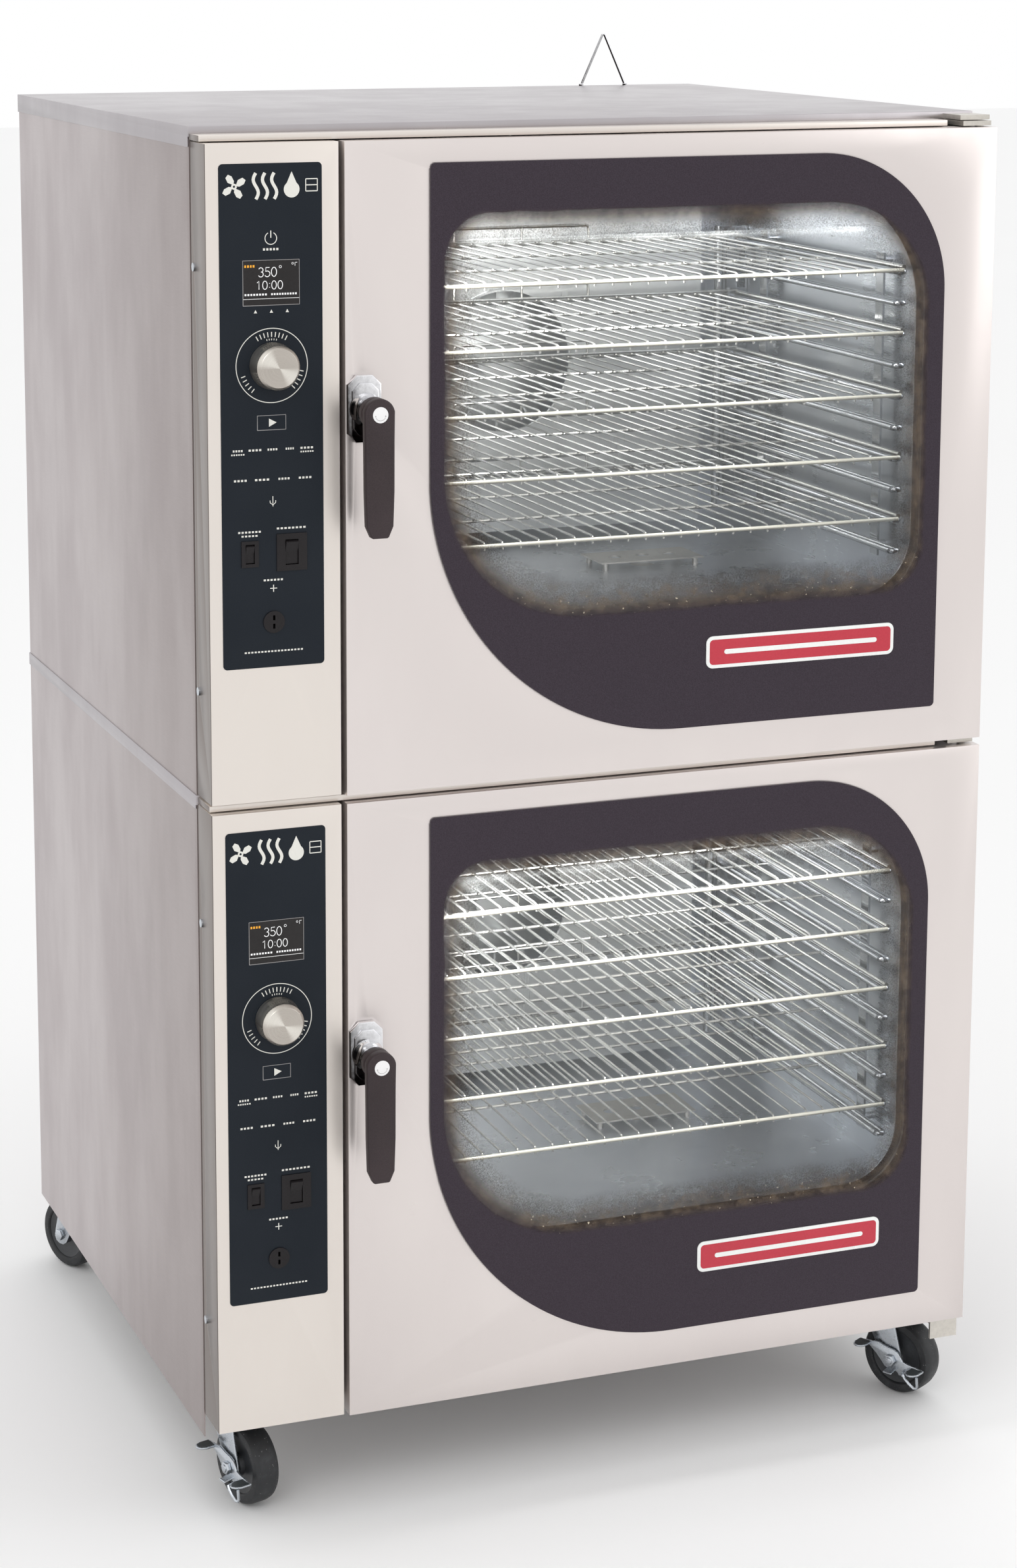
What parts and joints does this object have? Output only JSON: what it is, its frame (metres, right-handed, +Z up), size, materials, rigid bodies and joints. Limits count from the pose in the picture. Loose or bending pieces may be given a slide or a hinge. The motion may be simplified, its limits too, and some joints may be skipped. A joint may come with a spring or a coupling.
{
  "type": "combi steamer oven",
  "caption": "Double-stacked combi steamer oven with hinged windowed doors, lever handles, control panels, sliding racks, fans and braked swivel casters.",
  "frame": {"origin": "on the floor, under the middle of the whole oven's outline", "axes": "+X to the right when facing the doors, +Y towards the back, +Z up"},
  "size_m": [1.023, 1.016, 1.7902],
  "materials": {
    "brushed_stainless": "fine vertical brushed grain",
    "plain_stainless": "dull rolled sheet with light wear",
    "chamber_steel": "smooth satin, slightly blued by heat",
    "frame_steel": "plain galvanised sheet",
    "gasket_rubber": "matt silicone",
    "rack_wire": "bright electropolished wire",
    "motor_paint": "satin",
    "element_sheath": "dark oxidised sheath",
    "overlay_film": "dark navy printed film",
    "display_glass": "glossy dark glass",
    "black_plastic": "fine satin",
    "hardware_steel": "bright plated",
    "brass_fittings": "satin pipe",
    "surround_enamel": "dark purple-brown gloss",
    "door_glass": "clear with a faint tint",
    "handle_plastic": "dark moulded, lightly grained",
    "knob_metal": "spun face, satin side",
    "caster_zinc": "bright zinc plate",
    "wheel_rubber": "dark grey tread, worn"
  },
  "bodies": {
    "root": {"roof_caps": "brushed_stainless", "side_panels": "plain_stainless", "back_panels": "plain_stainless", "cabinet_frames": "frame_steel", "upper_cavity": "chamber_steel", "lower_cavity": "chamber_steel", "door_gaskets": "gasket_rubber", "rack_guides": "rack_wire", "fan_baffles": "chamber_steel", "fan_motors": "motor_paint", "heating_elements": "element_sheath", "control_panels": "brushed_stainless", "control_overlays": "overlay_film", "display_modules": "display_glass", "panel_sockets": "black_plastic", "door_hardware": "hardware_steel", "panel_screws": "hardware_steel", "caster_plates": "caster_zinc", "plumbing_fittings": "brass_fittings", "roof_wire": "rack_wire"},
    "upper_door": {"upper_door_shell": "brushed_stainless", "upper_door_liner": "chamber_steel", "upper_window_surround": "surround_enamel", "upper_window_panes": "door_glass", "upper_handle_base": "hardware_steel"},
    "upper_handle": {"upper_door_handle": "handle_plastic"},
    "upper_rack_1_body": {"upper_rack_1": "rack_wire"},
    "upper_rack_2_body": {"upper_rack_2": "rack_wire"},
    "upper_rack_3_body": {"upper_rack_3": "rack_wire"},
    "upper_rack_4_body": {"upper_rack_4": "rack_wire"},
    "upper_rack_5_body": {"upper_rack_5": "rack_wire"},
    "upper_knob_body": {"upper_knob": "knob_metal"},
    "upper_cutoff_rocker_body": {"upper_cutoff_rocker": "black_plastic"},
    "upper_breaker_rocker_body": {"upper_breaker_rocker": "black_plastic"},
    "upper_fan_body": {"upper_fan": "chamber_steel"},
    "lower_door": {"lower_door_shell": "brushed_stainless", "lower_door_liner": "chamber_steel", "lower_window_surround": "surround_enamel", "lower_window_panes": "door_glass", "lower_handle_base": "hardware_steel"},
    "lower_handle": {"lower_door_handle": "handle_plastic"},
    "lower_rack_1_body": {"lower_rack_1": "rack_wire"},
    "lower_rack_2_body": {"lower_rack_2": "rack_wire"},
    "lower_rack_3_body": {"lower_rack_3": "rack_wire"},
    "lower_rack_4_body": {"lower_rack_4": "rack_wire"},
    "lower_rack_5_body": {"lower_rack_5": "rack_wire"},
    "lower_knob_body": {"lower_knob": "knob_metal"},
    "lower_cutoff_rocker_body": {"lower_cutoff_rocker": "black_plastic"},
    "lower_breaker_rocker_body": {"lower_breaker_rocker": "black_plastic"},
    "lower_fan_body": {"lower_fan": "chamber_steel"},
    "front_left_swivel": {"front_left_fork": "caster_zinc"},
    "front_left_wheel_body": {"front_left_wheel": "wheel_rubber"},
    "front_left_pedal_body": {"front_left_brake_pedal": "caster_zinc"},
    "front_right_swivel": {"front_right_fork": "caster_zinc"},
    "front_right_wheel_body": {"front_right_wheel": "wheel_rubber"},
    "front_right_pedal_body": {"front_right_brake_pedal": "caster_zinc"},
    "rear_left_swivel": {"rear_left_fork": "caster_zinc"},
    "rear_left_wheel_body": {"rear_left_wheel": "wheel_rubber"},
    "rear_right_swivel": {"rear_right_fork": "caster_zinc"},
    "rear_right_wheel_body": {"rear_right_wheel": "wheel_rubber"}
  },
  "joints": [
    {"name": "upper_door_hinge", "type": "hinge", "parent": "root", "child": "upper_door", "pos_m": [0.5015, -0.416, 1.307], "axis": [0, 0, 1], "range_deg": [0, 120]},
    {"name": "upper_handle_turn", "type": "hinge", "parent": "upper_door", "child": "upper_handle", "pos_m": [-0.321, -0.462, 1.384], "axis": [0, -1, 0], "range_deg": [0, 90]},
    {"name": "upper_rack_1_slide", "type": "slide", "parent": "root", "child": "upper_rack_1_body", "axis": [0, -1, 0], "range_m": [0, 0.03]},
    {"name": "upper_rack_2_slide", "type": "slide", "parent": "root", "child": "upper_rack_2_body", "axis": [0, -1, 0], "range_m": [0, 0.03]},
    {"name": "upper_rack_3_slide", "type": "slide", "parent": "root", "child": "upper_rack_3_body", "axis": [0, -1, 0], "range_m": [0, 0.03]},
    {"name": "upper_rack_4_slide", "type": "slide", "parent": "root", "child": "upper_rack_4_body", "axis": [0, -1, 0], "range_m": [0, 0.03]},
    {"name": "upper_rack_5_slide", "type": "slide", "parent": "root", "child": "upper_rack_5_body", "axis": [0, -1, 0], "range_m": [0, 0.03]},
    {"name": "upper_knob_turn", "type": "hinge", "parent": "root", "child": "upper_knob_body", "pos_m": [-0.432, -0.457, 1.439], "axis": [0, -1, 0], "continuous": true},
    {"name": "upper_cutoff_switch", "type": "hinge", "parent": "root", "child": "upper_cutoff_rocker_body", "pos_m": [-0.4605, -0.4411, 1.219], "axis": [-1, 0, 0], "range_deg": [0, 20]},
    {"name": "upper_breaker_switch", "type": "hinge", "parent": "root", "child": "upper_breaker_rocker_body", "pos_m": [-0.4095, -0.4411, 1.219], "axis": [-1, 0, 0], "range_deg": [0, 20]},
    {"name": "upper_fan_spin", "type": "hinge", "parent": "root", "child": "upper_fan_body", "pos_m": [0.0965, 0.238, 1.348], "axis": [0, -1, 0], "continuous": true},
    {"name": "lower_door_hinge", "type": "hinge", "parent": "root", "child": "lower_door", "pos_m": [0.5015, -0.416, 0.521], "axis": [0, 0, 1], "range_deg": [0, 120]},
    {"name": "lower_handle_turn", "type": "hinge", "parent": "lower_door", "child": "lower_handle", "pos_m": [-0.321, -0.462, 0.598], "axis": [0, -1, 0], "range_deg": [0, 90]},
    {"name": "lower_rack_1_slide", "type": "slide", "parent": "root", "child": "lower_rack_1_body", "axis": [0, -1, 0], "range_m": [0, 0.03]},
    {"name": "lower_rack_2_slide", "type": "slide", "parent": "root", "child": "lower_rack_2_body", "axis": [0, -1, 0], "range_m": [0, 0.03]},
    {"name": "lower_rack_3_slide", "type": "slide", "parent": "root", "child": "lower_rack_3_body", "axis": [0, -1, 0], "range_m": [0, 0.03]},
    {"name": "lower_rack_4_slide", "type": "slide", "parent": "root", "child": "lower_rack_4_body", "axis": [0, -1, 0], "range_m": [0, 0.03]},
    {"name": "lower_rack_5_slide", "type": "slide", "parent": "root", "child": "lower_rack_5_body", "axis": [0, -1, 0], "range_m": [0, 0.03]},
    {"name": "lower_knob_turn", "type": "hinge", "parent": "root", "child": "lower_knob_body", "pos_m": [-0.432, -0.457, 0.653], "axis": [0, -1, 0], "continuous": true},
    {"name": "lower_cutoff_switch", "type": "hinge", "parent": "root", "child": "lower_cutoff_rocker_body", "pos_m": [-0.4605, -0.4411, 0.433], "axis": [-1, 0, 0], "range_deg": [0, 20]},
    {"name": "lower_breaker_switch", "type": "hinge", "parent": "root", "child": "lower_breaker_rocker_body", "pos_m": [-0.4095, -0.4411, 0.433], "axis": [-1, 0, 0], "range_deg": [0, 20]},
    {"name": "lower_fan_spin", "type": "hinge", "parent": "root", "child": "lower_fan_body", "pos_m": [0.0965, 0.238, 0.562], "axis": [0, -1, 0], "continuous": true},
    {"name": "front_left_swivel_turn", "type": "hinge", "parent": "root", "child": "front_left_swivel", "pos_m": [-0.4565, -0.327, 0.118], "axis": [0, 0, 1], "continuous": true},
    {"name": "front_left_wheel_roll", "type": "hinge", "parent": "front_left_swivel", "child": "front_left_wheel_body", "pos_m": [-0.44822, -0.35791, 0.0508], "axis": [0.9659, 0.2588, 0], "continuous": true},
    {"name": "front_left_pedal_press", "type": "hinge", "parent": "front_left_swivel", "child": "front_left_pedal_body", "pos_m": [-0.44822, -0.35791, 0.0508], "axis": [0.9659, 0.2588, 0], "range_deg": [0, 18]},
    {"name": "front_right_swivel_turn", "type": "hinge", "parent": "root", "child": "front_right_swivel", "pos_m": [0.4565, -0.327, 0.118], "axis": [0, 0, 1], "continuous": true},
    {"name": "front_right_wheel_roll", "type": "hinge", "parent": "front_right_swivel", "child": "front_right_wheel_body", "pos_m": [0.4725, -0.35471, 0.0508], "axis": [0.866, 0.5, 0], "continuous": true},
    {"name": "front_right_pedal_press", "type": "hinge", "parent": "front_right_swivel", "child": "front_right_pedal_body", "pos_m": [0.4725, -0.35471, 0.0508], "axis": [0.866, 0.5, 0], "range_deg": [0, 18]},
    {"name": "rear_left_swivel_turn", "type": "hinge", "parent": "root", "child": "rear_left_swivel", "pos_m": [-0.4565, 0.417, 0.118], "axis": [0, 0, 1], "continuous": true},
    {"name": "rear_left_wheel_roll", "type": "hinge", "parent": "rear_left_swivel", "child": "rear_left_wheel_body", "pos_m": [-0.46952, 0.44623, 0.0508], "axis": [-0.9135, -0.4067, 0], "continuous": true},
    {"name": "rear_right_swivel_turn", "type": "hinge", "parent": "root", "child": "rear_right_swivel", "pos_m": [0.4565, 0.417, 0.118], "axis": [0, 0, 1], "continuous": true},
    {"name": "rear_right_wheel_roll", "type": "hinge", "parent": "rear_right_swivel", "child": "rear_right_wheel_body", "pos_m": [0.46639, 0.44743, 0.0508], "axis": [-0.9511, 0.309, 0], "continuous": true}
  ]
}
